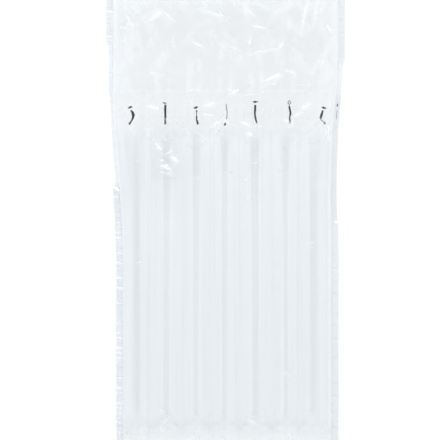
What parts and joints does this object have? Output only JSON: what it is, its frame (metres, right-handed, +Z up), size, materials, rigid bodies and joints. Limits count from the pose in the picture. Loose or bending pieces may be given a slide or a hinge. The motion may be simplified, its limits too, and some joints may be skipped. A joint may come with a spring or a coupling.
{
  "type": "air cushion bottle bag",
  "caption": "Clear film bottle bag with upright air columns, welded sides, a folded bottom, valve film with ink bars and a flat flap round the open mouth, lying empty on its back.",
  "frame": {"origin": "middle of the bag at the level of the surface it lies on", "axes": "+Y along the bag from the bottom fold to the mouth, +X across it, +Z up out of the front panel"},
  "size_m": [0.2248, 0.435, 0.0237],
  "materials": {
    "clear_film": "clear, glossy, finely creased polyamide and polyethylene film",
    "valve_film": "thin clear film, crumpled",
    "black_ink": "heat-resistant black ink, matt"
  },
  "bodies": {
    "root": {"column_bag": "clear_film", "valve_film": "valve_film", "ink_bar_1": "black_ink", "ink_bar_2": "black_ink", "ink_bar_3": "black_ink", "ink_bar_4": "black_ink", "ink_bar_5": "black_ink", "ink_bar_6": "black_ink", "ink_bar_7": "black_ink", "ink_bar_8": "black_ink"}
  },
  "joints": []
}
